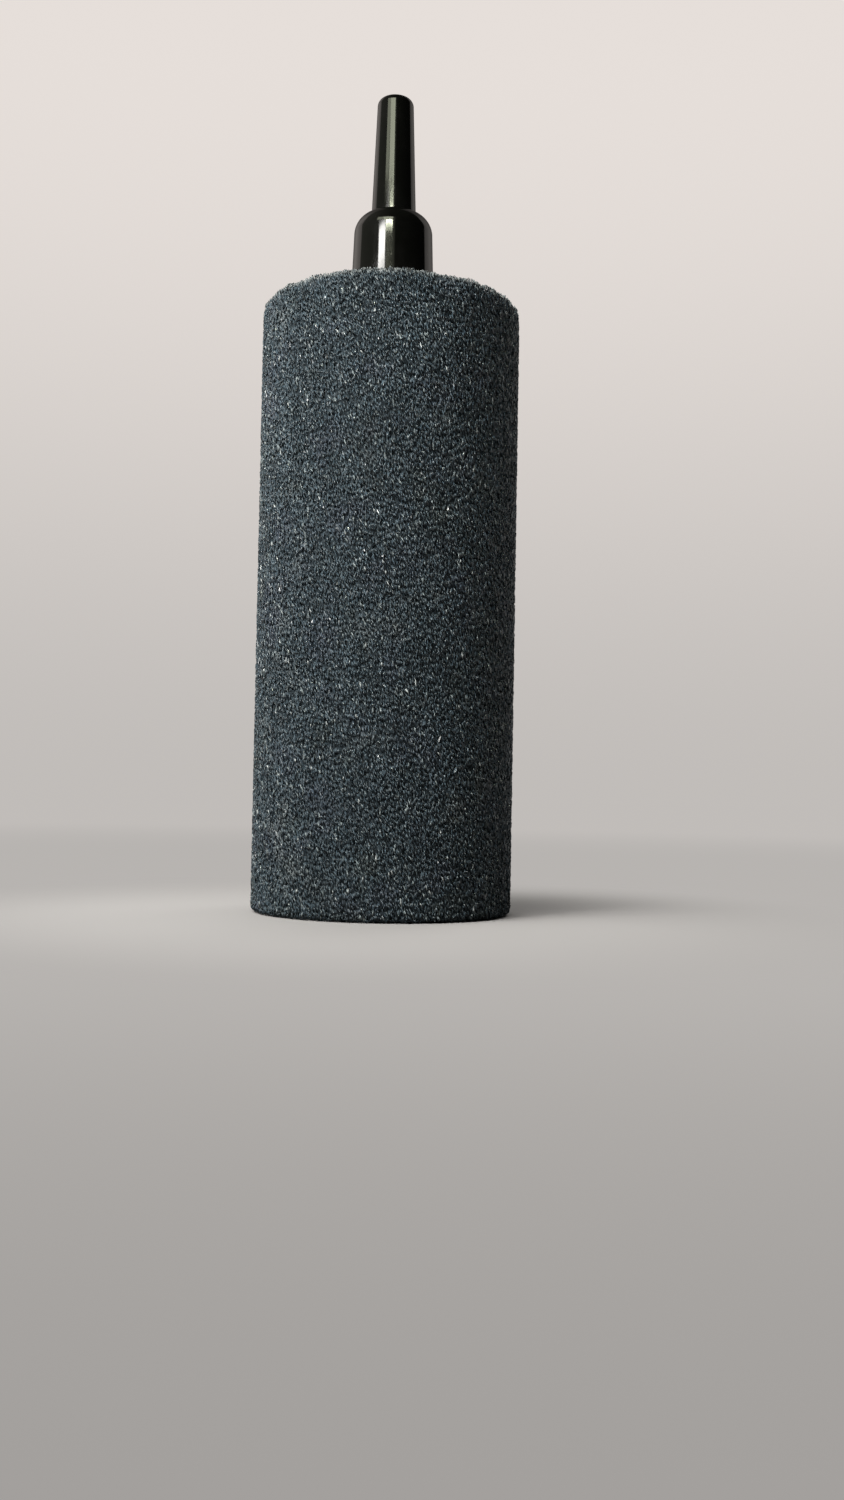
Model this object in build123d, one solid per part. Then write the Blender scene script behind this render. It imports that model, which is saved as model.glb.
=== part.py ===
"""Air stone: a cylinder of bonded mineral grit with a moulded air nozzle glued into its head.

Frame, in millimetres: the origin is the centre of the stone's foot, and +Z runs up the axis
through the nozzle to its tip. Every piece is turned about that axis.
"""

from build123d import *
import os
from math import ceil, cos, radians, tan

# Stone: grit moulded and fired as one porous cylinder
STONE_D = 30.0
STONE_L = 70.0
FOOT_EDGE_R = 0.8
HEAD_CHAMFER = 0.7

# Air chamber: the blind hole that the mould's tapered core pin leaves below the socket
CHAMBER_MOUTH_D = 5.0
CHAMBER_END_D = 4.0
FLOOR_T = 18.0

# Nozzle stem: the tapered end that the air line pushes over
STEM_L = 13.85
STEM_TIP_D = 4.2
STEM_ROOT_D = 5.2
STEM_TIP_R = 0.8
HOSE_LAND_L = 1.1

# Nozzle shoulder: the collar that seats on the stone's head
SHOULDER_H = 11.55
SHOULDER_TOP_D = 9.07
SHOULDER_FOOT_D = 9.8
SHOULDER_SLOPE_DEG = 20.0
SHOULDER_R = 2.4

# Nozzle spigot: the toothed end that the adhesive grips inside the stone
SPIGOT_L = 12.0
SPIGOT_D = 6.0
TOOTH_D = 6.9
TOOTH_PITCH = 3.2

# Air passage: one straight hole from the stem's tip to the spigot's end
PASSAGE_D = 2.2

# Clearances in the socket
GLUE_FILM = 0.25
END_GAP = 1.0

# Heights along the axis, worked out from the sizes above
head_z = STONE_L
socket_floor_z = head_z - SPIGOT_L - END_GAP
spigot_end_z = head_z - SPIGOT_L
root_z = head_z + SHOULDER_H
tip_z = root_z + STEM_L
socket_r = TOOTH_D / 2 + GLUE_FILM


def turned(corners, name):
    """One solid turned about Z from its half section: corners of (radius, height, rounding)."""
    points = [(radius, 0, height) for radius, height, _ in corners]
    roundings = [rounding for _, _, rounding in corners]
    section = make_face(FilletPolyline(*points, radius=roundings, close=True))
    solid = revolve(section, axis=Axis.Z)
    solid.label = name
    return solid


def spigot_wall():
    """The spigot's outside from its end to the head: saw teeth that slide in and hold against a pull."""
    wall = []
    teeth = ceil(SPIGOT_L / TOOTH_PITCH) - 1  # what is left over is the plain neck
    for tooth in range(teeth):
        low = spigot_end_z + tooth * TOOTH_PITCH
        high = low + TOOTH_PITCH
        wall.append((SPIGOT_D / 2, low, 0))
        wall.append((TOOTH_D / 2, high, 0))
    wall.append((SPIGOT_D / 2, spigot_end_z + teeth * TOOTH_PITCH, 0))
    wall.append((SPIGOT_D / 2, head_z, 0))
    return wall


def porous_stone():
    """The grit cylinder: rounded foot, crumbled head rim, nozzle socket, blind air chamber below it."""
    foot = [(0, 0, 0), (STONE_D / 2, 0, FOOT_EDGE_R)]
    rim = [(STONE_D / 2, head_z - HEAD_CHAMFER, 0), (STONE_D / 2 - HEAD_CHAMFER, head_z, 0)]
    socket = [(socket_r, head_z, 0), (socket_r, socket_floor_z, 0)]
    chamber = [
        (CHAMBER_MOUTH_D / 2, socket_floor_z, 0),
        (CHAMBER_END_D / 2, FLOOR_T, 0),
        (0, FLOOR_T, 0),
    ]
    return turned(foot + rim + socket + chamber, "porous_stone")


def air_nozzle():
    """The one-piece moulding: toothed spigot, drafted shoulder with a domed top, tapered stem."""
    passage_r = PASSAGE_D / 2
    slope = radians(SHOULDER_SLOPE_DEG)
    slope_run = (SHOULDER_TOP_D - STEM_ROOT_D) / 2
    # A rounding can't be longer than the slope that it rounds
    widest_rounding = 0.9 * slope_run / cos(slope) / tan((radians(90) - slope) / 2)
    shoulder = [
        (SHOULDER_FOOT_D / 2, head_z, 0),
        (SHOULDER_TOP_D / 2, root_z - slope_run * tan(slope), min(SHOULDER_R, widest_rounding)),
        (STEM_ROOT_D / 2, root_z, 0),
    ]
    stem = [
        (STEM_ROOT_D / 2, root_z + HOSE_LAND_L, 0),
        (STEM_TIP_D / 2, tip_z, STEM_TIP_R),
        (passage_r, tip_z, 0),
    ]
    passage = [(passage_r, spigot_end_z, 0)]
    return turned(passage + spigot_wall() + shoulder + stem, "air_nozzle")


def glue_seal():
    """The hardened adhesive that fills the socket round the spigot and keeps the air in."""
    socket_wall = [(socket_r, head_z, 0), (socket_r, spigot_end_z, 0)]
    return turned(spigot_wall() + socket_wall, "glue_seal")


os.makedirs("parts", exist_ok=True)
for piece in (porous_stone(), air_nozzle(), glue_seal()):
    export_step(piece, f"parts/{piece.label}.step")
    box = piece.bounding_box()
    print(f"{piece.label}: {piece.volume:.1f} mm3, z {box.min.Z:.2f} to {box.max.Z:.2f} mm")
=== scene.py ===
# %% [markdown]
# # Dressing an air stone in Blender
#
# The object is a cylinder of bonded grit, about as long as a hand is wide, with a glossy black
# nozzle glued into its head. Air is pushed down the nozzle and leaves through the pores of the
# grit as fine bubbles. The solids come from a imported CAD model, which is the fixed frame here.
# This script adds what solids can't show: thousands of separate grains, the crumbling head rim,
# the gloss of the moulding, and the light.
#
# Everything is in metres and in the frame's own axes: the origin is the centre of the foot, and
# +Z runs up through the nozzle.

import math

import bmesh
import bpy
import numpy as np
from mathutils import Matrix, Vector


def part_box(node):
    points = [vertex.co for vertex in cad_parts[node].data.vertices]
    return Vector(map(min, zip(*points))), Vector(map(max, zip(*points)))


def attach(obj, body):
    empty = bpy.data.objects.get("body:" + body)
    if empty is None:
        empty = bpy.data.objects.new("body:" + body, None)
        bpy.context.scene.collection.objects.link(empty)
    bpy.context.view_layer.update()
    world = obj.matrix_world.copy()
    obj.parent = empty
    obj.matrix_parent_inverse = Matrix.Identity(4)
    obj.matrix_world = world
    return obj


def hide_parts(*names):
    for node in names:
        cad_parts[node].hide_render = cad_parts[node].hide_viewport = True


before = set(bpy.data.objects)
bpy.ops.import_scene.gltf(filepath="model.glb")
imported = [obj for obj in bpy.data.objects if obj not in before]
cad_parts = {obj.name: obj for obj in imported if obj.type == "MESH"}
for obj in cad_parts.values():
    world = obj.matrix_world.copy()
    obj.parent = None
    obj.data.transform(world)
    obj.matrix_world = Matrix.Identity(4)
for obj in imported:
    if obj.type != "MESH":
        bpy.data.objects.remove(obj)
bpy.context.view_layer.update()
print("CAD nodes:", sorted(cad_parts))

# %% [markdown]
# ## Sizes
#
# The overall sizes are read from the frame, so that they follow the CAD model. The few sizes of
# the nozzle's section that a box can't tell are repeated here in millimetres.

# %% Sizes that the frame gives
MM = 0.001

_, stone_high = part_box("porous_stone")
nozzle_low, nozzle_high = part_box("air_nozzle")
_, seal_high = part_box("glue_seal")

stone_r = stone_high.x
head_z = stone_high.z
tip_z = nozzle_high.z
spigot_end_z = nozzle_low.z
shoulder_foot_r = nozzle_high.x
socket_r = seal_high.x
print(f"stone {2000 * stone_r:.1f} x {1000 * head_z:.1f} mm, nozzle tip at {1000 * tip_z:.2f} mm")

# %% [markdown]
# ## The camera
#
# The camera stands where the photograph was taken from. Its place, tilt, roll and lens were
# found by matching the stone's two side edges, the arcs of its two ends and the nozzle's edges.
# It looks along +Y from near the foot's height, so the head hides where the nozzle is seated.
# A matrix of three axes says the same as Euler angles, and is easier to check by eye.

# %% Camera at the photograph's viewing angle
EYE = Vector((4.456, -156.09, 13.43)) * MM
TILT_UP = math.radians(1.9726)
ROLL = math.radians(1.0291)
LENS = 32.29
SENSOR = 36.0

ahead = Vector((0, math.cos(TILT_UP), math.sin(TILT_UP)))
level_up = Vector((0, -math.sin(TILT_UP), math.cos(TILT_UP)))
level_right = Vector((1, 0, 0))
right = math.cos(ROLL) * level_right + math.sin(ROLL) * level_up
up = math.cos(ROLL) * level_up - math.sin(ROLL) * level_right

camera = bpy.data.objects.new("camera", bpy.data.cameras.new("camera"))
camera.data.lens = LENS
camera.data.sensor_width = SENSOR
camera.data.clip_start = 1 * MM
camera.data.clip_end = 10.0
camera.matrix_world = Matrix.Translation(EYE) @ Matrix((right, up, -ahead)).transposed().to_4x4()
bpy.context.scene.collection.objects.link(camera)
bpy.context.scene.camera = camera
bpy.context.scene.view_settings.view_transform = "Standard"
print(f"camera {1000 * EYE.length:.0f} mm from the foot")

# %% [markdown]
# ## Turning a half section
#
# Both the stone's inner mass and the nozzle are round about Z, so each is drawn as half a
# section and turned. A subdivided cylinder would need its edges creased by hand, and a Screw
# modifier would hide the arcs in an object of their own. A list of corners, each with its
# rounding, reads like a maker's drawing, and arcs get exactly as many points as they need.


# %% A half section from its corners
LEAST_ARC_CUTS = 2


def rotated(spoke, angle):
    """A plane vector turned by an angle."""
    across, along = spoke
    c, s = math.cos(angle), math.sin(angle)
    return np.array((c * across - s * along, s * across + c * along))


def rounded_corner(before, here, after, rounding, step):
    """The arc that replaces a corner, as points no further apart than an angle of step."""
    come = (here - before) / np.linalg.norm(here - before)
    leave = (after - here) / np.linalg.norm(after - here)
    turn = math.atan2(come[0] * leave[1] - come[1] * leave[0], come @ leave)
    start = here - come * rounding * math.tan(abs(turn) / 2)
    to_centre = math.copysign(rounding, turn) * np.array((-come[1], come[0]))
    cuts = max(LEAST_ARC_CUTS, math.ceil(abs(turn) / step))
    return [start + to_centre - rotated(to_centre, turn * cut / cuts) for cut in range(cuts + 1)]


def half_section(corners, run, step=math.radians(6), closed=True):
    """Points (radius, height) along corners of (radius, height, rounding), all in metres."""
    plain = [np.array(corner[:2], float) for corner in corners]
    bent = []
    for index, (_, _, rounding) in enumerate(corners):
        if rounding:
            after = plain[(index + 1) % len(plain)]
            bent += rounded_corner(plain[index - 1], plain[index], after, rounding, step)
        else:
            bent.append(plain[index])
    line = []
    ends = bent[1:] + bent[:1] if closed else bent[1:]
    for start, end in zip(bent, ends):
        cuts = max(1, math.ceil(np.linalg.norm(end - start) / run))
        line += [start + (end - start) * cut / cuts for cut in range(cuts)]
    return line if closed else line + [bent[-1]]


# %% Turning the section into a mesh
AXIS_R = 1e-7
SHARP_ANGLE = math.radians(32)


def turned(name, line, segments):
    """A closed mesh: the closed half section turned about Z, with one point where it meets Z."""
    vertices = []
    rings = []
    for radius, height in line:
        if radius < AXIS_R:
            rings.append([len(vertices)] * (segments + 1))
            vertices.append((0, 0, height))
            continue
        first = len(vertices)
        for segment in range(segments):
            angle = math.tau * segment / segments
            vertices.append((radius * math.cos(angle), radius * math.sin(angle), height))
        rings.append([*range(first, first + segments), first])
    faces = []
    for lower, upper in zip(rings, rings[1:] + rings[:1]):
        for left in range(segments):
            corners = (lower[left], lower[left + 1], upper[left + 1], upper[left])
            face = list(dict.fromkeys(corners))
            if len(face) > 2:
                faces.append(face)
    mesh = bpy.data.meshes.new(name)
    mesh.from_pydata(vertices, [], faces)
    mesh.shade_smooth()
    mesh.set_sharp_from_angle(angle=SHARP_ANGLE)
    piece = bpy.data.objects.new(name, mesh)
    bpy.context.scene.collection.objects.link(piece)
    print(f"{name}: {len(faces)} faces")
    return piece


# %% [markdown]
# ## The nozzle
#
# The real nozzle is one injection moulding. Its gloss shows every facet, so it is turned again
# here with far more segments than the CAD mesh has, from the same section: a straight passage,
# a spigot of saw teeth that the adhesive grips, a drafted shoulder with a domed top, and the
# tapered stem with its rounded tip.

# %% Nozzle sizes, in millimetres
STEM_L = 13.85
STEM_TIP_R = 2.1
STEM_ROOT_R = 2.6
STEM_TIP_ROUNDING = 0.8
SHOULDER_TOP_R = 4.535
SHOULDER_SLOPE = math.radians(20)
SHOULDER_ROUNDING = 2.4
SPIGOT_R = 3.0
TOOTH_R = 3.45
TOOTH_PITCH = 3.2
PASSAGE_R = 1.1

root_z = tip_z / MM - STEM_L
slope_drop = (SHOULDER_TOP_R - STEM_ROOT_R) * math.tan(SHOULDER_SLOPE)
print(f"the stem starts {root_z:.2f} mm above the foot")

# %% Nozzle mesh
spigot = []
spigot_l = (head_z - spigot_end_z) / MM
teeth = math.ceil(spigot_l / TOOTH_PITCH) - 1
for tooth in range(teeth):
    low = spigot_end_z / MM + tooth * TOOTH_PITCH
    spigot.append((SPIGOT_R, low, 0))
    spigot.append((TOOTH_R, low + TOOTH_PITCH, 0))
spigot.append((SPIGOT_R, spigot_end_z / MM + teeth * TOOTH_PITCH, 0))
spigot.append((SPIGOT_R, head_z / MM, 0))

shoulder = [
    (shoulder_foot_r / MM, head_z / MM, 0),
    (SHOULDER_TOP_R, root_z - slope_drop, SHOULDER_ROUNDING),
    (STEM_ROOT_R, root_z, 0),
]
stem = [
    (STEM_TIP_R, tip_z / MM, STEM_TIP_ROUNDING),
    (PASSAGE_R, tip_z / MM, 0),
]
passage = [(PASSAGE_R, spigot_end_z / MM, 0)]

nozzle_corners = [
    (radius * MM, height * MM, rounding * MM)
    for radius, height, rounding in passage + spigot + shoulder + stem
]
nozzle_line = half_section(nozzle_corners, run=2.0 * MM, step=math.radians(3))
nozzle = turned("nozzle_moulding", nozzle_line, segments=160)
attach(nozzle, "root")
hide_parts("air_nozzle")

# %% [markdown]
# ## The stone: an inner mass and an outer skin of grains
#
# The real stone is grit pressed into a steel mould and fired until the grains stick where they
# touch. A bump texture on a cylinder looks painted, because its outline stays a ruler line and
# its pores cast no shadow. So the outermost grains are real here: each is a small angular solid.
# Behind them a turned body stands for the grains further in, which are only seen as
# the bottoms of the pores. Its colour is painted darker than the grains', as painted shade.

# %% Inner mass of the stone
FOOT_EDGE_R = 0.8 * MM
HEAD_RIM_R = 0.8 * MM
SKIN_T = 0.42 * MM
CHAMBER_MOUTH_R = 2.5 * MM
CHAMBER_END_R = 2.0 * MM
CHAMBER_FLOOR_Z = 18.0 * MM
SOCKET_END_GAP = 1.0 * MM

core_r = stone_r - SKIN_T
core_low = SKIN_T
core_high = head_z - SKIN_T
socket_floor_z = spigot_end_z - SOCKET_END_GAP
mass_corners = [
    (0, core_low, 0),
    (core_r, core_low, FOOT_EDGE_R),
    (core_r, core_high, HEAD_RIM_R),
    (socket_r, core_high, 0),
    (socket_r, socket_floor_z, 0),
    (CHAMBER_MOUTH_R, socket_floor_z, 0),
    (CHAMBER_END_R, CHAMBER_FLOOR_Z, 0),
    (0, CHAMBER_FLOOR_Z, 0),
]
inner_mass = turned("grit_inner_mass", half_section(mass_corners, run=2.5 * MM), segments=96)
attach(inner_mass, "root")
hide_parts("porous_stone")

# %% [markdown]
# ## Grain shapes
#
# Crushed grit has flat faces and sharp edges. The hull of five points spread over a ball has
# just that look, and always six triangles, so a small library of hulls can be stretched and
# turned at random for the whole stone without two grains looking alike.

# %% A library of angular grains
GRAIN_CORNERS = 5
GRAIN_FACES = 2 * GRAIN_CORNERS - 4
GRAIN_SHAPES = 80
LEAST_SPREAD = 1.0

rng = np.random.default_rng(20)


def spread_points():
    """The corners of one grain on the unit ball, none of them crowded."""
    while True:
        points = rng.normal(size=(GRAIN_CORNERS, 3))
        points /= np.linalg.norm(points, axis=1, keepdims=True)
        gaps = np.linalg.norm(points[:, None] - points[None], axis=2)
        if gaps[~np.eye(GRAIN_CORNERS, dtype=bool)].min() > LEAST_SPREAD:
            return points


def hull_faces(points):
    """The hull's triangles as corner numbers, wound so that they face outwards."""
    hull = bmesh.new()
    for point in points:
        hull.verts.new(point)
    bmesh.ops.convex_hull(hull, input=hull.verts)
    hull.verts.index_update()
    faces = np.array([[vertex.index for vertex in face.verts] for face in hull.faces])
    hull.free()
    first, second, third = (points[faces[:, corner]] for corner in range(3))
    outward = np.einsum("ij,ij->i", np.cross(second - first, third - first), first) > 0
    faces[~outward] = faces[~outward][:, ::-1]
    return faces


shape_points = np.array([spread_points() for _ in range(GRAIN_SHAPES)])
shape_faces = np.array([hull_faces(points) for points in shape_points])
print(f"{GRAIN_SHAPES} grain shapes of {shape_faces.shape[1]} triangles")

# %% [markdown]
# ## Where the grains sit
#
# The grains are laid in rows along the stone's outline: over the foot, round its edge, up the
# side, over the rim and across the head to the nozzle. Each row is a ring with as many grains
# as fit, and every grain is then nudged, so that no row can be seen. Random points alone would
# leave bald spots, and a physics simulation of so many grains would take far too long. The rows
# stand wider apart than the grains in them, because the grains on the side are longer than wide.

# %% Rows of grains along the outline
GRAIN_PITCH = 0.16 * MM
ROW_PITCH = 0.46 * MM
NUDGE_ROUND = 0.36
NUDGE_ALONG = 0.55

outline = half_section(
    [
        (0, 0, 0),
        (stone_r, 0, FOOT_EDGE_R),
        (stone_r, head_z, HEAD_RIM_R),
        (shoulder_foot_r, head_z, 0),
    ],
    run=0.1 * MM,
    closed=False,
)
outline = np.array(outline)
strides = np.linalg.norm(np.diff(outline, axis=0), axis=1)
distance = np.concatenate([[0], np.cumsum(strides)])
rows = np.arange(ROW_PITCH / 2, distance[-1], ROW_PITCH)

row_r = np.interp(rows, distance, outline[:, 0])
per_row = np.maximum(1, np.round(math.tau * row_r / GRAIN_PITCH)).astype(int)
grain_row = np.repeat(np.arange(len(rows)), per_row)
grain_place = np.concatenate([np.arange(count) for count in per_row])
grains = len(grain_row)

round_nudge = rng.uniform(-NUDGE_ROUND, NUDGE_ROUND, grains)
turns = (grain_place + round_nudge + 0.5 * (grain_row % 2)) / per_row[grain_row]
grain_angle = math.tau * turns
along_nudge = rng.uniform(-NUDGE_ALONG, NUDGE_ALONG, grains) * ROW_PITCH
grain_walk = np.clip(rows[grain_row] + along_nudge, 0, distance[-1])
print(f"{grains} grains in {len(rows)} rows")

# %% [markdown]
# ## The mould's wall, and where it has crumbled
#
# Grains can't stand out past the mould that formed them, so every corner beyond the wall is
# pressed back onto it, which also flattens some grain tops as on the real thing. About a quarter
# of the grains lie right at the wall and catch the light as short streaks. The others lie a
# little deeper, so that dark gaps show between the streaks.
#
# At the head the rim has crumbled: there the wall lies deeper, by another amount for each tall
# and narrow cluster of grains, with a few wider chips. Depths drawn grain by grain would average
# out to a smooth outline, so it is the clusters that make the rim look bitten.

# %% How deep each grain's wall lies
WALL_SCATTER = 0.05 * MM
CRUMBLE = 0.34 * MM
CRUMBLE_REACH = 1.6 * MM
CLUSTER_TALL = 1.8 * MM
CLUSTER_WIDE = 0.38 * MM
CHIPS = [
    # angle round the axis, half width along the rim, depth
    (-155, 1.6 * MM, 0.16 * MM),
    (-131, 1.5 * MM, 0.14 * MM),
    (-112, 2.2 * MM, 0.14 * MM),
    (-66, 2.2 * MM, 0.16 * MM),
    (-20, 1.8 * MM, 0.06 * MM),
    (35, 2.0 * MM, 0.16 * MM),
    (102, 1.6 * MM, 0.26 * MM),
]
CHIP_ENDS = 1.3  # as a multiple of its half width
TINY = 1e-9

rim_walk = distance[np.argmax(outline[:, 0] + outline[:, 1])]
to_rim = np.abs(grain_walk - rim_walk)
at_rim = np.clip(1 - to_rim / CRUMBLE_REACH, 0, 1)
wall_depth = rng.uniform(0, WALL_SCATTER, grains)
cluster_rows = np.floor(grain_walk / CLUSTER_TALL).astype(int)
clusters_round = math.floor(math.tau * stone_r / CLUSTER_WIDE)
cluster_columns = np.floor(grain_angle / math.tau * clusters_round + 0.5 * cluster_rows).astype(int)
cluster_depth = rng.uniform(0, CRUMBLE, size=(cluster_rows.max() + 1, clusters_round))
wall_depth += at_rim * cluster_depth[cluster_rows, cluster_columns % clusters_round]
for degrees, half_width, depth in CHIPS:
    away = (grain_angle - math.radians(degrees) + math.pi) % math.tau - math.pi
    reach = np.hypot(away * stone_r, to_rim) / half_width
    wall_depth += depth * np.clip(CHIP_ENDS - reach, 0, 1)
print(f"{clusters_round} clusters round the rim, and {len(CHIPS)} chips")


def press_back(points, wall):
    """Moves points that stand out past the wall back onto it; wall is its depth at each point."""
    x, y, z = points[..., 0], points[..., 1], points[..., 2]
    radius = np.hypot(x, y)
    rounding = np.where(z > head_z / 2, HEAD_RIM_R, FOOT_EDGE_R)
    inner_r = np.minimum(radius, stone_r - rounding)
    inner_z = np.clip(z, rounding, head_z - rounding)
    stands_out = np.hypot(radius - inner_r, z - inner_z)
    keep = np.minimum(1, (rounding - wall) / np.maximum(stands_out, TINY))
    pressed_r = inner_r + (radius - inner_r) * keep
    pressed_z = inner_z + (z - inner_z) * keep
    around = pressed_r / np.maximum(radius, TINY)
    return np.stack([x * around, y * around, pressed_z], axis=-1)


# %% Sizes, depths and turns of the grains
GRAIN_R = (0.10 * MM, 0.145 * MM)
STRETCH = (0.8, 1.2)
LONGER = 2.4
LEAN = (-0.60, 0.0)
SUNK = 0.80
PROUD_SHARE = 0.28
DEEPER = (0.06 * MM, 0.15 * MM)

grain_shade = rng.random(grains)
grain_kind = rng.random(grains)
grain_r = rng.uniform(*GRAIN_R, grains)
depth = wall_depth + SUNK * grain_r
depth += np.where(grain_kind < PROUD_SHARE, 0, rng.uniform(*DEEPER, grains))

centre_r = np.interp(grain_walk, distance, outline[:, 0])
centre_z = np.interp(grain_walk, distance, outline[:, 1])
slope = np.gradient(outline, distance, axis=0)
outward_r = np.interp(grain_walk, distance, slope[:, 1])
outward_z = -np.interp(grain_walk, distance, slope[:, 0])
centre_r = centre_r - outward_r * depth
centre_z = centre_z - outward_z * depth
centres = np.stack(
    [centre_r * np.cos(grain_angle), centre_r * np.sin(grain_angle), centre_z], axis=1
)


def random_turns(count):
    """As many random rotation matrices, from unit quaternions."""
    quaternions = rng.normal(size=(4, count))
    w, x, y, z = quaternions / np.linalg.norm(quaternions, axis=0)
    return np.array(
        [
            [1 - 2 * (y * y + z * z), 2 * (x * y - w * z), 2 * (x * z + w * y)],
            [2 * (x * y + w * z), 1 - 2 * (x * x + z * z), 2 * (y * z - w * x)],
            [2 * (x * z - w * y), 2 * (y * z + w * x), 1 - 2 * (x * x + y * y)],
        ]
    ).transpose(2, 0, 1)


shape = rng.integers(GRAIN_SHAPES, size=grains)
stretch = rng.uniform(*STRETCH, size=(grains, 1, 3))
corners = shape_points[shape] * stretch * grain_r[:, None, None]
corners = np.einsum("gij,gcj->gci", random_turns(grains), corners)

# On the side the grains are longer along the axis, and most lean a little the same way
on_side = outward_r[:, None] ** 2
corners[..., 2] *= 1 + LONGER * on_side
lean = rng.uniform(*LEAN, size=(grains, 1)) * on_side * corners[..., 2]
corners[..., 0] -= lean * np.sin(grain_angle)[:, None]
corners[..., 1] += lean * np.cos(grain_angle)[:, None]
corners = press_back(corners + centres[:, None], wall_depth[:, None])
print(f"grains of {2000 * grain_r.min():.2f} to {2000 * grain_r.max():.2f} mm, then stretched")

# %% [markdown]
# ## From grains to meshes
#
# One mesh of all the grains would be too heavy to handle, so they go into four meshes, a
# quarter of the turn each. Every grain carries its own random numbers as attributes, from which
# the finish takes its colour and gloss. A grain is one colour all over, so its six triangles
# share one small square of the map: a texture baked through it stays crisp at a few pixels a
# grain, where an unwrapping of so many tiny islands would be nearly all margin.

# %% Grain meshes
QUARTERS = 4
MAP_NAME = "OFBake"
MAP_MARGIN = 0.12
TRIANGLE_IN_CELL = np.array(((0, 0), (1, 0), (0, 1)))


def grain_mesh(name, members):
    """One mesh of the grains with those numbers, with their attributes and their map."""
    count = len(members)
    points = corners[members].reshape(-1, 3)
    offsets = GRAIN_CORNERS * np.arange(count)[:, None, None]
    faces = (shape_faces[shape[members]] + offsets).reshape(-1, 3)
    mesh = bpy.data.meshes.new(name)
    mesh.vertices.add(len(points))
    mesh.vertices.foreach_set("co", points.ravel())
    mesh.loops.add(faces.size)
    mesh.loops.foreach_set("vertex_index", faces.ravel())
    mesh.polygons.add(len(faces))
    mesh.polygons.foreach_set("loop_start", 3 * np.arange(len(faces)))
    mesh.update(calc_edges=True)
    for label, numbers in (("grain_shade", grain_shade), ("grain_kind", grain_kind)):
        attribute = mesh.attributes.new(label, "FLOAT", "POINT")
        attribute.data.foreach_set("value", np.repeat(numbers[members], GRAIN_CORNERS))
    cells = math.ceil(math.sqrt(count))
    cell = np.stack([np.arange(count) % cells, np.arange(count) // cells], axis=1)
    inside = MAP_MARGIN + (1 - 2 * MAP_MARGIN) * TRIANGLE_IN_CELL
    spots = (cell[:, None, None] + inside[None, None]) / cells
    spots = np.broadcast_to(spots, (count, GRAIN_FACES, 3, 2))
    mesh.uv_layers.new(name=MAP_NAME).data.foreach_set("uv", spots.ravel())
    mesh.validate()
    piece = bpy.data.objects.new(name, mesh)
    bpy.context.scene.collection.objects.link(piece)
    print(f"{name}: {count} grains, {len(mesh.polygons)} triangles")
    return piece


quarter = np.floor(turns % 1 * QUARTERS).astype(int)
grit_pieces = []
for number in range(QUARTERS):
    piece = grain_mesh(f"grit_quarter_{number + 1}", np.flatnonzero(quarter == number))
    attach(piece, "root")
    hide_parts("porous_stone")
    grit_pieces.append(piece)

# %% [markdown]
# ## Writing finishes as sums
#
# A finish is a small calculation that runs at every point of a surface. Node by node it is hard
# to read, so one small class lets a socket take part in Python sums, and each sum adds the Math
# node that it needs. Colours go through Mix nodes, because a Math node turns a colour grey.


# %% Sockets that can be added and multiplied
class Wire:
    """A shader value. Sums with numbers or other wires add the Math nodes for them."""

    def __init__(self, tree, socket):
        self.tree = tree
        self.socket = socket

    def math(self, operation, first, second):
        return add(self.tree, "ShaderNodeMath", {"operation": operation}, {0: first, 1: second})

    def __add__(self, other):
        return self.math("ADD", self, other)

    def __radd__(self, other):
        return self.math("ADD", other, self)

    def __sub__(self, other):
        return self.math("SUBTRACT", self, other)

    def __rsub__(self, other):
        return self.math("SUBTRACT", other, self)

    def __mul__(self, other):
        return self.math("MULTIPLY", self, other)

    def __rmul__(self, other):
        return self.math("MULTIPLY", other, self)

    def __lt__(self, other):
        return self.math("LESS_THAN", self, other)

    def ramp(self, low, high):
        """0 below low, 1 above high, and smooth between them."""
        settings = {"interpolation_type": "SMOOTHSTEP"}
        inputs = {"Value": self, "From Min": low, "From Max": high}
        return add(self.tree, "ShaderNodeMapRange", settings, inputs)

    def blend(self, first, second):
        """The colour first where this is 0, and second where it is 1."""
        inputs = {0: self, 6: first, 7: second}
        return add(self.tree, "ShaderNodeMix", {"data_type": "RGBA"}, inputs, output=2)


def add(tree, kind, settings=None, inputs=None, output=0):
    """One more node: its settings first, then its sockets' values or links."""
    node = tree.nodes.new(kind)
    for name, value in (settings or {}).items():
        setattr(node, name, value)
    for name, value in (inputs or {}).items():
        if isinstance(value, Wire):
            tree.links.new(value.socket, node.inputs[name])
        elif isinstance(value, tuple) and len(value) == 3 and node.inputs[name].type == "RGBA":
            node.inputs[name].default_value = (*value, 1)
        else:
            node.inputs[name].default_value = value
    return Wire(tree, node.outputs[output]) if node.outputs else node


def new_finish(name):
    """An empty material and its node tree."""
    material = bpy.data.materials.new(name)
    material.use_nodes = True
    material.node_tree.nodes.clear()
    return material, material.node_tree


def surface(tree, **inputs):
    """The finish's one shader, with its sockets by name."""
    named = {name.replace("_", " "): value for name, value in inputs.items()}
    shader = add(tree, "ShaderNodeBsdfPrincipled", None, named)
    add(tree, "ShaderNodeOutputMaterial", None, {"Surface": shader})


def ray(tree, kind):
    """1 for rays of that kind, such as Camera, and 0 for all others."""
    return add(tree, "ShaderNodeLightPath", output=f"Is {kind} Ray")


def place_on(tree):
    """Where a point lies, in metres from the origin."""
    return add(tree, "ShaderNodeTexCoord", output="Object")


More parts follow.
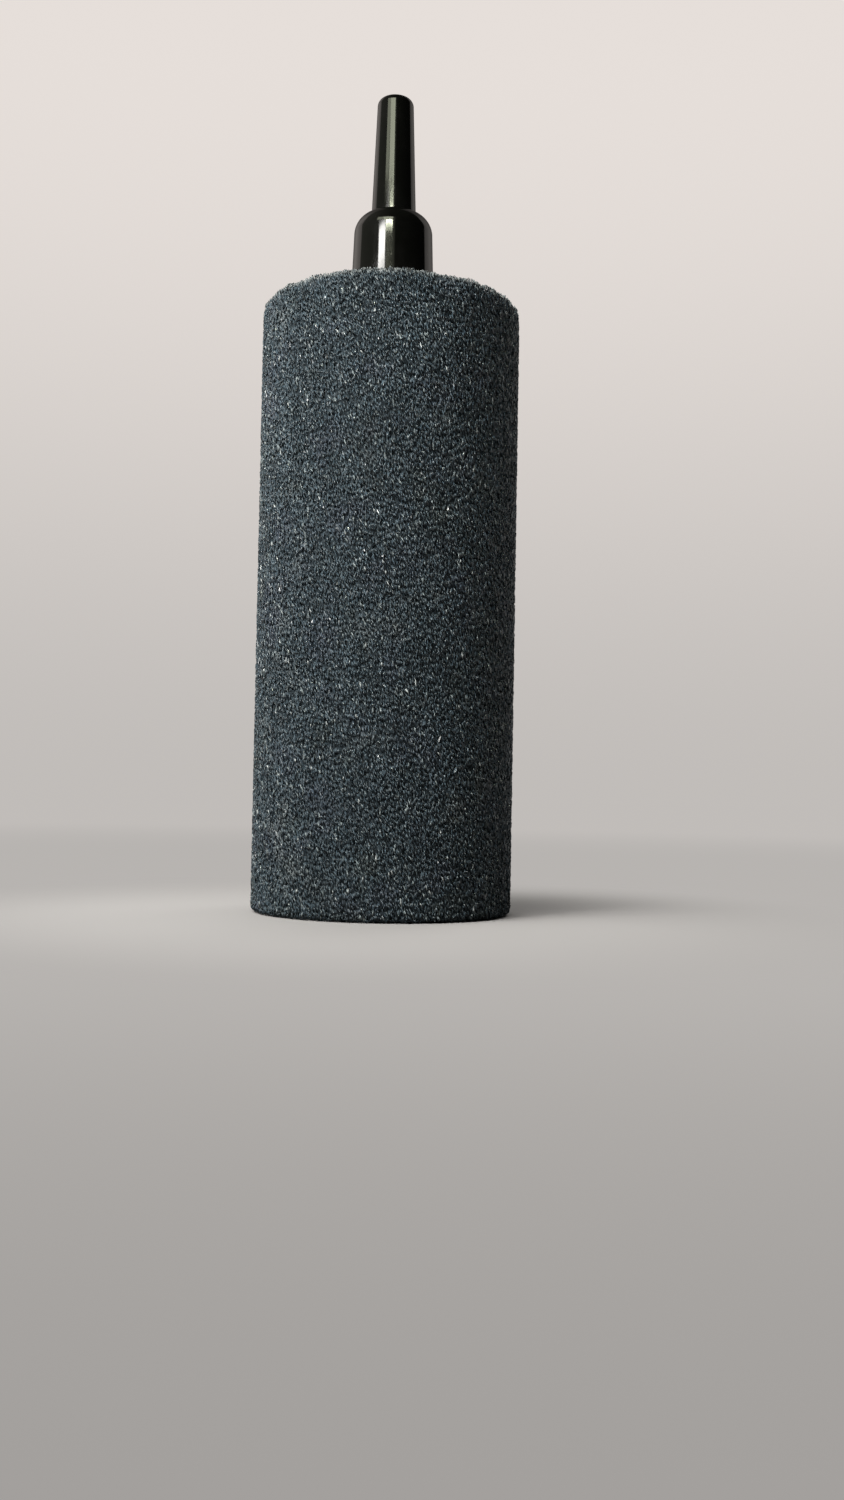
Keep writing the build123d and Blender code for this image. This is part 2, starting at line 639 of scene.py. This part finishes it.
def noise(tree, size, detail=2.0, seed=0.0):
    """Cloudy noise with patches of about that size in metres, from 0 to 1."""
    settings = {"noise_dimensions": "4D"}
    inputs = {"Vector": place_on(tree), "W": seed, "Scale": 1 / size, "Detail": detail}
    return add(tree, "ShaderNodeTexNoise", settings, inputs)


# %% [markdown]
# ## Finish of the grit
#
# The stone is a dark blue-grey, but no grain is the same. Most are slate coloured, some nearly
# black, and a few are pale or white. Nearly one in three is glassy and catches the lamps as a
# bright point, more strongly than most stone does, because fused grit bends light more. Over the
# grains lie paler patches, faint green and violet casts and dust, and the grains grow paler
# towards the head's rim. The grains further in show only through the pores; their colour is
# painted darker, as painted shade in the pores, and they are quite matt.

# %% Colours of the grit, and how many grains are of each kind
SLATE_DARK = (0.036, 0.053, 0.065)
SLATE_PALE = (0.103, 0.148, 0.180)
WHITE = (0.55, 0.60, 0.60)
DUST_AND_RIM_PALE = (0.25, 0.275, 0.275)
GREEN_CAST = (0.080, 0.095, 0.080)
VIOLET_CAST = (0.080, 0.090, 0.130)
PALE = (0.27, 0.32, 0.33)
WHITE_SHARE = 0.004
PALE_SHARE = 0.03
GLASSY_SHARE = 0.30
print(f"{GLASSY_SHARE:.0%} glassy, {PALE_SHARE:.0%} pale, {WHITE_SHARE:.1%} white")

# %% Patches and gloss of the grit
SMALL_PATCH = 1.5 * MM
LARGE_PATCH = 5.0 * MM
PATCH_EDGE = (0.3, 0.7)
PLAIN_PALENESS = 0.35
PATCH_PALENESS = 0.5
GREEN_PATCH = 4.0 * MM
GREEN_EDGE = (0.55, 0.75)
VIOLET_PATCH = 5.0 * MM
VIOLET_EDGE = (0.5, 0.7)
CAST_STRENGTH = 0.35
DUST_PATCH = 6.0 * MM
DUST_EDGE = (0.56, 0.78)
RIM_PALENESS = 1.7
RIM_PALE_Z = (head_z - 1.2 * MM, head_z - 0.3 * MM)
GRIT_ROUGHNESS = 0.45
GLASSY_POLISH = 0.30
GRIT_IOR = 1.70
print(f"the rim's dust starts {1000 * RIM_PALE_Z[0]:.1f} mm above the foot")


# %% Grit
def grit_finish():
    material, tree = new_finish("grit")
    shade = add(tree, "ShaderNodeAttribute", {"attribute_name": "grain_shade"}, output="Fac")
    kind = add(tree, "ShaderNodeAttribute", {"attribute_name": "grain_kind"}, output="Fac")
    small = noise(tree, SMALL_PATCH, seed=1.0).ramp(*PATCH_EDGE)
    large = noise(tree, LARGE_PATCH, seed=2.0).ramp(*PATCH_EDGE)
    paleness = shade * (PLAIN_PALENESS + PATCH_PALENESS * small + PATCH_PALENESS * large)
    colour = paleness.blend(SLATE_DARK, SLATE_PALE)
    green = noise(tree, GREEN_PATCH, seed=3.0).ramp(*GREEN_EDGE) * CAST_STRENGTH
    colour = green.blend(colour, GREEN_CAST)
    violet = noise(tree, VIOLET_PATCH, seed=4.0).ramp(*VIOLET_EDGE) * CAST_STRENGTH
    colour = violet.blend(colour, VIOLET_CAST)
    height = add(tree, "ShaderNodeSeparateXYZ", None, {0: place_on(tree)}, output="Z")
    rim = height.ramp(*RIM_PALE_Z)
    dusty = noise(tree, DUST_PATCH, detail=4.0, seed=5.0).ramp(*DUST_EDGE)
    # Dust in patches, and the grains grow paler towards the head's rim
    colour = ((dusty + RIM_PALENESS * rim) * shade).blend(colour, DUST_AND_RIM_PALE)
    colour = (kind < PALE_SHARE).blend(colour, PALE)
    colour = (kind < WHITE_SHARE).blend(colour, WHITE)
    roughness = GRIT_ROUGHNESS - GLASSY_POLISH * (kind < GLASSY_SHARE)
    surface(tree, Base_Color=colour, Roughness=roughness, IOR=GRIT_IOR)
    return material


# %% Grains further in, painted darker as painted shade
# Painted shade: the mass is coloured darker than the grit, for the shade in the pores
MASS_PAINTED_SHADE_DARK = (0.026, 0.037, 0.045)
MASS_PAINTED_SHADE_PALE = (0.060, 0.084, 0.102)
MASS_GRAIN = 0.35 * MM
MASS_RELIEF = 0.1 * MM
MASS_ROUGHNESS = 0.9


def shaded_mass_finish():
    material, tree = new_finish("grit_further_in_painted_shade")
    clouds = noise(tree, MASS_GRAIN, detail=3.0)
    bump = add(tree, "ShaderNodeBump", None, {"Height": clouds, "Distance": MASS_RELIEF})
    colour = clouds.blend(MASS_PAINTED_SHADE_DARK, MASS_PAINTED_SHADE_PALE)
    surface(tree, Base_Color=colour, Roughness=MASS_ROUGHNESS, Normal=bump)
    return material


grit = grit_finish()
for piece in grit_pieces:
    piece.data.materials.append(grit)
inner_mass.data.materials.append(shaded_mass_finish())
print(f"{grit.name}: {len(grit.node_tree.nodes)} nodes")

# %% [markdown]
# ## Finish of the nozzle
#
# The moulding is black and glossy, straight from a polished mould. It shows almost no colour of
# its own, so what reads as its shape is what it reflects. A very faint waviness keeps the
# reflections from looking machined, and dust from the grit dulls it slightly in places.

# %% Nozzle plastic
BLACK = (0.0028, 0.0030, 0.0024)
DUSTED_BLACK = (0.006, 0.006, 0.0055)
HAZE_PATCH = 3.0 * MM
HAZE_EDGE = (0.45, 0.8)
WAVE_LENGTH = 2.5 * MM
WAVE_HEIGHT = 0.005 * MM
POLISH = 0.08
HAZE_DULLS = 0.05


def nozzle_finish():
    material, tree = new_finish("glossy_black_plastic")
    haze = noise(tree, HAZE_PATCH, detail=3.0, seed=6.0).ramp(*HAZE_EDGE)
    waves = noise(tree, WAVE_LENGTH, detail=1.0, seed=7.0)
    bump = add(tree, "ShaderNodeBump", None, {"Height": waves, "Distance": WAVE_HEIGHT})
    colour = haze.blend(BLACK, DUSTED_BLACK)
    surface(tree, Base_Color=colour, Roughness=POLISH + HAZE_DULLS * haze, Normal=bump)
    return material


nozzle.data.materials.append(nozzle_finish())
print("nozzle finish:", nozzle.data.materials[0].name)

# %% [markdown]
# ## Finish of the adhesive
#
# The adhesive fills the socket round the spigot and can't be seen, but a part is also looked at
# taken apart, so it gets the clouded look of hardened epoxy.

# %% Adhesive
EPOXY_DARK = (0.26, 0.24, 0.19)
EPOXY_PALE = (0.38, 0.36, 0.30)
EPOXY_CLOUD = 1.5 * MM
EPOXY_RELIEF = 0.05 * MM
EPOXY_POLISH = 0.35
CLOUDS_DULL = 0.2


def adhesive_finish():
    material, tree = new_finish("hardened_adhesive")
    clouds = noise(tree, EPOXY_CLOUD, detail=3.0, seed=8.0)
    colour = clouds.blend(EPOXY_DARK, EPOXY_PALE)
    bump = add(tree, "ShaderNodeBump", None, {"Height": clouds, "Distance": EPOXY_RELIEF})
    surface(tree, Base_Color=colour, Roughness=EPOXY_POLISH + CLOUDS_DULL * clouds, Normal=bump)
    return material


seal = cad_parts["glue_seal"]
seal.data.materials.clear()
seal.data.materials.append(adhesive_finish())
print("adhesive finish:", seal.data.materials[0].name)

# %% [markdown]
# ## Floor and background
#
# The stone stands on a plain pale floor. Near the stone the floor is lit and takes its shadow.
# Further out it fades into the colour that the world shows the camera, so that no horizon line
# crosses the picture. Gloss and glass see that colour too, but diffuse light doesn't, so it
# doesn't wash out the grit. The far floor is painted darker towards the front, as painted shade.

# %% Floor and background colours, and where they change, in metres
FLOOR_R = 4.0
FLOOR_FADE = (0.020, 0.062)
FLOOR_PAINTED_SHADE_Y = (-0.165, -0.05)
FLOOR_OUT = (0.16, 0.45)
PAPER = (0.50, 0.487, 0.482)
PAPER_BOUNCE = (0.16, 0.155, 0.15)
BACKGROUND_PAINTED_LIGHT = (0.79, 0.735, 0.70)
BACKGROUND_LEVEL = (0.53, 0.505, 0.485)
FLOOR_LEVEL = (0.475, 0.455, 0.437)
FLOOR_FRONT_PAINTED_SHADE = (0.335, 0.32, 0.308)


# %% Floor
def floor_finish():
    material, tree = new_finish("pale_floor")
    place = place_on(tree)
    away = add(tree, "ShaderNodeVectorMath", {"operation": "LENGTH"}, {0: place}, output="Value")
    forward = add(tree, "ShaderNodeSeparateXYZ", None, {0: place}, output="Y")
    seen = ray(tree, "Camera")
    mirrored = ray(tree, "Glossy") + ray(tree, "Transmission")
    # Painted shade: the far floor is darker towards the front
    colour = forward.ramp(*FLOOR_PAINTED_SHADE_Y).blend(FLOOR_FRONT_PAINTED_SHADE, FLOOR_LEVEL)
    colour = away.ramp(*FLOOR_OUT).blend(colour, BACKGROUND_LEVEL)
    fade = away.ramp(*FLOOR_FADE) * (seen + mirrored)
    paper = add(tree, "ShaderNodeBsdfDiffuse", None, {"Color": seen.blend(PAPER_BOUNCE, PAPER)})
    far = add(tree, "ShaderNodeEmission", None, {"Color": colour, "Strength": 1.0})
    both = add(tree, "ShaderNodeMixShader", None, {0: fade, 1: paper, 2: far})
    add(tree, "ShaderNodeOutputMaterial", None, {"Surface": both})
    return material


bpy.ops.mesh.primitive_circle_add(vertices=96, radius=FLOOR_R, fill_type="TRIFAN")
floor = bpy.context.object
floor.name = "floor"
floor.data.materials.append(floor_finish())
print(f"floor: {2 * FLOOR_R:.0f} m wide")

# %% [markdown]
# ## The surroundings
#
# A black nozzle shows its shape only by what it mirrors, so the surroundings are drawn in the
# world: a dim room in front, and behind the stone a wide sheet of pale paper, which stands in
# the gloss as a grey band along each side. Real walls would do the same, but would also shade
# the lamps. For diffuse light the sheet is dim except for one patch behind on the right.

# %% Colours of the surroundings, and their edges as slopes of a view direction
ROOM_LEFT = (0.16, 0.16, 0.136)
ROOM_RIGHT = (0.010, 0.010, 0.009)
PAPER_LEFT = (0.80, 0.73, 0.68)
PAPER_RIGHT = (0.50, 0.47, 0.44)
PAPER_SHADED = (0.10, 0.09, 0.085)
LIGHT_BESIDE = (0.025, 0.024, 0.023)
LIGHT_BEHIND = (1.6, 1.52, 1.45)
SOFT_EDGE = 0.06
SHEET_LEFT = 3.7
SHEET_RIGHT = 3.5
SHEET_TOP = 3.5
PAPER_TURNS = (-0.5, 0.5)
SHADED_MIDDLE = (0.0, 0.5)
ROOM_TURNS = (-0.9, 0.1)
PATCH_TO_RIGHT = 0.5
PATCH_STARTS = (0.95, 1.1)
PAINTED_LIGHT_RISE = (-0.02, 0.50)

# %% World
world = bpy.data.worlds.new("world")
bpy.context.scene.world = world
world.use_nodes = True
sky = world.node_tree
sky.nodes.clear()
direction = add(sky, "ShaderNodeTexCoord", output="Generated")
across = add(sky, "ShaderNodeSeparateXYZ", None, {0: direction}, output="X")
forward = add(sky, "ShaderNodeSeparateXYZ", None, {0: direction}, output="Y")
upward = add(sky, "ShaderNodeSeparateXYZ", None, {0: direction}, output="Z")
paper = across.ramp(*PAPER_TURNS).blend(PAPER_LEFT, PAPER_RIGHT)
paper = (across * across).ramp(*SHADED_MIDDLE).blend(PAPER_SHADED, paper)
mirrored = ray(sky, "Glossy") + ray(sky, "Transmission")
patch = (forward + PATCH_TO_RIGHT * across).ramp(*PATCH_STARTS)
paper = mirrored.blend(patch.blend(LIGHT_BESIDE, LIGHT_BEHIND), paper)
left_edge = (across + SHEET_LEFT * forward).ramp(0, SOFT_EDGE)
right_edge = (SHEET_RIGHT * forward - across).ramp(0, SOFT_EDGE)
top_edge = (SHEET_TOP * forward - upward).ramp(0, SOFT_EDGE)
room = across.ramp(*ROOM_TURNS).blend(ROOM_LEFT, ROOM_RIGHT)
surroundings = (left_edge * right_edge * top_edge).blend(room, paper)
# Painted light: the background that the camera sees grows lighter upwards
behind = upward.ramp(*PAINTED_LIGHT_RISE).blend(BACKGROUND_LEVEL, BACKGROUND_PAINTED_LIGHT)
colour = ray(sky, "Camera").blend(surroundings, behind)
background = add(sky, "ShaderNodeBackground", None, {"Color": colour, "Strength": 1.0})
add(sky, "ShaderNodeOutputWorld", None, {"Surface": background})
print(f"world: {len(sky.nodes)} nodes")

# %% [markdown]
# ## Lamps
#
# The lamps stand in front, high and to the left, and close, so that the stone's head is brighter
# than its foot. The main lamp's image in the nozzle's shoulder is a narrow bright bar, about
# thirty degrees to the left, and an arm at its top bends to the right over the dome. The arm,
# the faint glow beside the bar and the streaks on the stem are panels that only gloss sees, so
# each can be placed for its image alone. The side lamp and the high lamp light the grit, the edge
# lamp lifts the stone's right edge, and the back fill keeps the far side from going black.

# %% The light panels
AIM = Vector((0, 0, 50 * MM))
LAMP_COLOUR = (1.0, 0.985, 0.95)
SHEEN_COLOUR = (0.955, 1.0, 0.76)
PANELS = [
    # name, degrees to the left of the camera's side, millimetres out, up, wide and tall,
    # degrees of roll, radiance, and whether it lights gloss (sheen), the rest (light) or both
    ("main_lamp", 31, 140, 144.0, 46, 12.6, 3.5, 28.0, "both"),
    ("main_lamp_arm", 11, 140, 153.1, 48, 2.8, 0, 68.0, "sheen"),
    ("glow_beside", 15, 142, 143.5, 27, 11.6, 0, 0.85, "sheen"),
    ("glow_beside_faint", 2, 142, 163, 40, 52, 0, 0.45, "sheen"),
    ("stem_panel", 15, 150, 190, 78, 44, 0, 7.0, "sheen"),
    ("stem_panel_left", 40, 150, 190, 52, 44, 0, 3.3, "sheen"),
    ("side_lamp", 43, 150, 109, 70, 50, 0, 17.3, "both"),
    ("high_lamp", 42, 130, 275, 180, 150, 0, 5.7, "light"),
    ("edge_lamp", -142, 120, 120, 70, 60, 0, 4.6, "light"),
    ("back_fill", 172, 200, 170, 150, 120, 0, 2.2, "light"),
]


# %% Lamps
def panel(name, azimuth, out, height, width, tall, roll, radiance, use):
    """A rectangular lamp that faces the stone."""
    turn = math.radians(azimuth)
    place = Vector((-out * math.sin(turn), -out * math.cos(turn), height)) * MM
    light = bpy.data.lights.new(name, "AREA")
    light.shape = "RECTANGLE"
    light.color = SHEEN_COLOUR if use == "sheen" else LAMP_COLOUR
    light.size = width * MM
    light.size_y = tall * MM
    light.energy = radiance * math.pi * light.size * light.size_y
    lamp = bpy.data.objects.new(name, light)
    facing = (place - AIM).to_track_quat("Z", "Y").to_matrix().to_4x4()
    rolled = facing @ Matrix.Rotation(math.radians(roll), 4, "Z")
    lamp.matrix_world = Matrix.Translation(place) @ rolled
    lamp.visible_camera = False
    lamp.visible_diffuse = use != "sheen"
    lamp.visible_glossy = use != "light"
    bpy.context.scene.collection.objects.link(lamp)
    print(f"{name}: {light.energy:.3f} W")


for row in PANELS:
    panel(*row)
